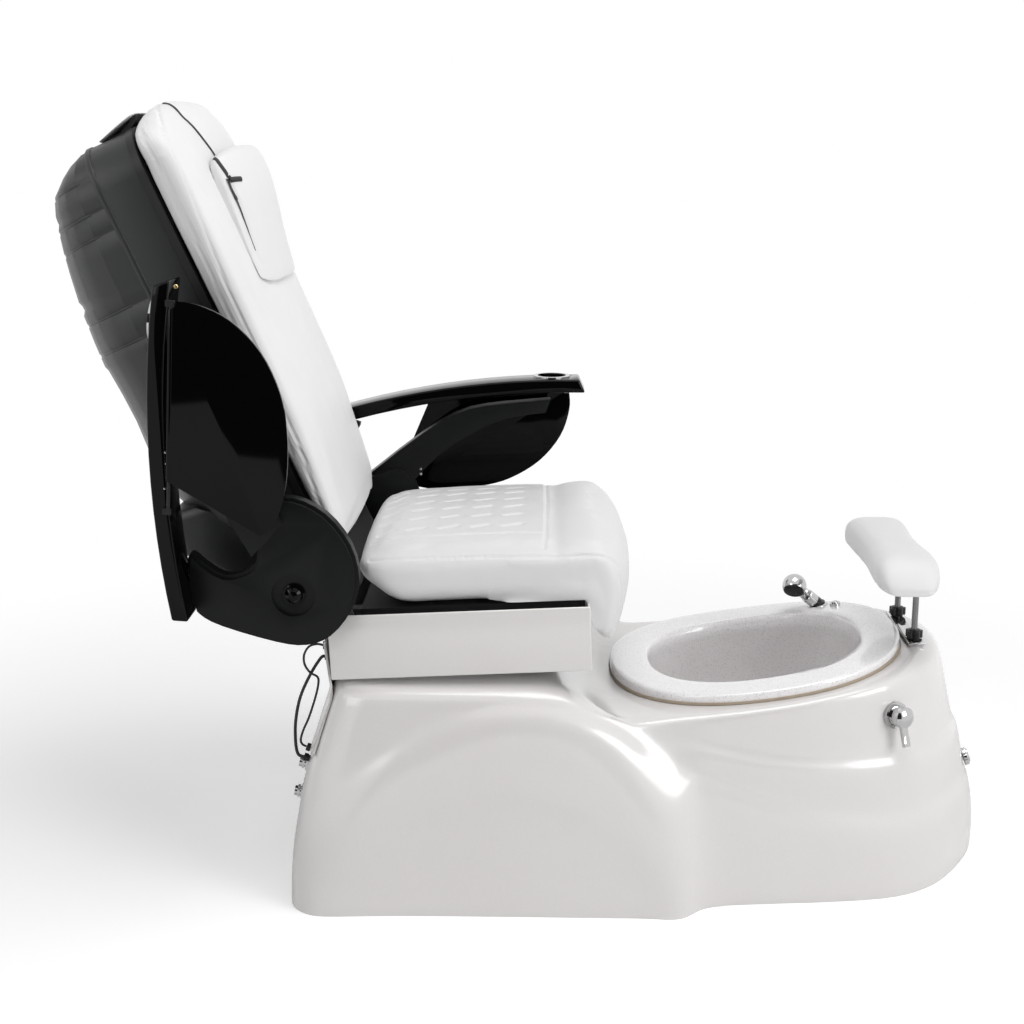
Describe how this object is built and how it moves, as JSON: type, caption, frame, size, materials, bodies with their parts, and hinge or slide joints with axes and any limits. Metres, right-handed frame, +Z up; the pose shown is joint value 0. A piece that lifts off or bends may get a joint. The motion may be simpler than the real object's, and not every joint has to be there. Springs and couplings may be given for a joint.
{
  "type": "pedicure spa chair",
  "caption": "Pedicure spa chair: moulded base with foot basin, sliding padded seat, reclining massage back, swing-up arms with fold-out trays and a height-adjustable footrest",
  "frame": {"origin": "on the floor, at the centre of the overall length and width", "axes": "+X the way the sitter faces, +Y the left of the sitter, +Z up"},
  "size_m": [1.6358, 0.7846, 1.3442],
  "materials": {
    "pearl_gelcoat": "glossy pearl white gel coat",
    "basin_resin": "smooth speckled resin",
    "white_leather": "soft synthetic leather",
    "dark_plastic": "fine grained satin",
    "black_gloss": "piano black lacquer",
    "bracket_coat": "satin powder coat on cast alloy",
    "frame_paint": "satin enamel on steel",
    "bright_steel": "turned and brushed",
    "chrome": "polished",
    "black_plastic": "moulded, fine texture",
    "black_rubber": "smooth"
  },
  "bodies": {
    "base": {"base_shell": "pearl_gelcoat", "rear_access_panel": "pearl_gelcoat", "inner_frame": "frame_paint", "basin": "basin_resin", "basin_drain": "chrome", "water_jet": "chrome", "jet_pump": "black_plastic", "power_box": "black_plastic", "mixer_valve": "chrome", "water_inlets": "chrome", "sprayer_holder": "black_plastic", "air_button_bezel": "chrome", "footrest_plate": "chrome", "seat_rails": "frame_paint", "slide_actuator": "black_plastic", "cable_glands": "black_plastic", "power_cable": "black_rubber", "control_cable": "black_rubber"},
    "seat_carriage": {"carriage_frame": "frame_paint", "seat_pan": "black_plastic", "seat_cushion": "white_leather", "seat_skirt": "pearl_gelcoat", "pivot_pins": "bright_steel", "slide_rod": "bright_steel", "recline_actuator": "black_plastic"},
    "recline_rod": {"recline_rod": "bright_steel"},
    "backrest": {"back_frame": "frame_paint", "back_surround": "dark_plastic", "rear_cover": "dark_plastic", "back_cushion": "white_leather", "top_flap": "white_leather", "head_pillow": "white_leather", "massage_rails": "bright_steel", "massage_motor": "black_plastic"},
    "massage_carriage": {"massage_carriage": "frame_paint"},
    "upper_rollers": {"upper_rollers": "black_rubber"},
    "lower_rollers": {"lower_rollers": "black_rubber"},
    "right_arm": {"right_arm_bracket": "bracket_coat", "right_armrest": "black_gloss", "right_cup_ring": "chrome", "right_pivot_cap": "black_plastic", "right_tray_hinge": "bright_steel"},
    "left_arm": {"left_arm_bracket": "bracket_coat", "left_armrest": "black_gloss", "left_cup_ring": "chrome", "left_pivot_cap": "black_plastic", "left_tray_hinge": "bright_steel"},
    "right_tray": {"right_tray": "black_gloss"},
    "left_tray": {"left_tray": "black_gloss"},
    "mixer_lever": {"mixer_lever": "chrome"},
    "drain_knob": {"drain_knob": "chrome"},
    "drain_stopper": {"drain_stopper": "chrome"},
    "sprayer": {"sprayer": "chrome"},
    "air_button": {"air_button": "chrome"},
    "footrest": {"footrest_pad": "white_leather", "footrest_rods": "bright_steel"},
    "near_star_knob": {"near_star_knob": "black_plastic"},
    "far_star_knob": {"far_star_knob": "black_plastic"}
  },
  "joints": [
    {"name": "seat_slide", "type": "slide", "parent": "base", "child": "seat_carriage", "axis": [0.999, 0, 0.0454], "range_m": [0, 0.12]},
    {"name": "back_recline", "type": "hinge", "parent": "seat_carriage", "child": "backrest", "pos_m": [-0.386, 0, 0.552], "axis": [0, -1, 0], "range_deg": [0, 30]},
    {"name": "recline_drive", "type": "slide", "parent": "seat_carriage", "child": "recline_rod", "axis": [0.999, 0, 0.0454], "range_m": [0, 0.0392]},
    {"name": "massage_travel", "type": "slide", "parent": "backrest", "child": "massage_carriage", "axis": [-0.4115, 0, 0.9114], "range_m": [-0.15, 0.15]},
    {"name": "upper_roller_spin", "type": "hinge", "parent": "massage_carriage", "child": "upper_rollers", "pos_m": [-0.51618, 0, 0.94966], "axis": [0, 1, 0], "continuous": true},
    {"name": "lower_roller_spin", "type": "hinge", "parent": "massage_carriage", "child": "lower_rollers", "pos_m": [-0.47996, 0, 0.86946], "axis": [0, 1, 0], "continuous": true},
    {"name": "right_arm_swing", "type": "hinge", "parent": "seat_carriage", "child": "right_arm", "pos_m": [-0.386, 0, 0.552], "axis": [0, 1, 0], "range_deg": [0, 82]},
    {"name": "left_arm_swing", "type": "hinge", "parent": "seat_carriage", "child": "left_arm", "pos_m": [-0.386, 0, 0.552], "axis": [0, -1, 0], "range_deg": [0, 82]},
    {"name": "right_tray_fold", "type": "hinge", "parent": "right_arm", "child": "right_tray", "pos_m": [-0.56964, -0.3873, 0.71515], "axis": [-0.061, 0, -0.9981], "range_deg": [0, 90]},
    {"name": "left_tray_fold", "type": "hinge", "parent": "left_arm", "child": "left_tray", "pos_m": [-0.25, 0.3873, 0.75656], "axis": [0.9969, 0, 0.0785], "range_deg": [0, 90]},
    {"name": "mixer_turn", "type": "hinge", "parent": "base", "child": "mixer_lever", "pos_m": [0.62146, -0.23913, 0.322], "axis": [0.481, -0.8691, 0.1151], "range_deg": [-60, 60]},
    {"name": "drain_knob_turn", "type": "hinge", "parent": "base", "child": "drain_knob", "pos_m": [0.80141, 0, 0.153], "axis": [0.9409, 0, 0.3387], "range_deg": [0, 90]},
    {"name": "drain_stopper_lift", "type": "slide", "parent": "base", "child": "drain_stopper", "axis": [0, 0, 1], "range_m": [0, 0.0082]},
    {"name": "sprayer_lift", "type": "slide", "parent": "base", "child": "sprayer", "axis": [-0.733, -0.2828, 0.6186], "range_m": [0, 0.12]},
    {"name": "air_button_press", "type": "slide", "parent": "base", "child": "air_button", "axis": [0.1935, 0, -0.9811], "range_m": [0, 0.0025], "stiffness_N_per_m": 400},
    {"name": "footrest_height", "type": "slide", "parent": "base", "child": "footrest", "axis": [0, 0, 1], "range_m": [-0.04, 0.06]},
    {"name": "near_knob_spin", "type": "hinge", "parent": "base", "child": "near_star_knob", "pos_m": [0.685, -0.072, 0.41], "axis": [0, 0, 1], "continuous": true},
    {"name": "far_knob_spin", "type": "hinge", "parent": "base", "child": "far_star_knob", "pos_m": [0.685, 0.072, 0.41], "axis": [0, 0, 1], "continuous": true}
  ],
  "couplings": [
    {"joint": "recline_drive", "follows": "back_recline", "m_per_rad": 0.0741},
    {"joint": "drain_stopper_lift", "follows": "drain_knob_turn", "m_per_rad": 0.00509}
  ]
}
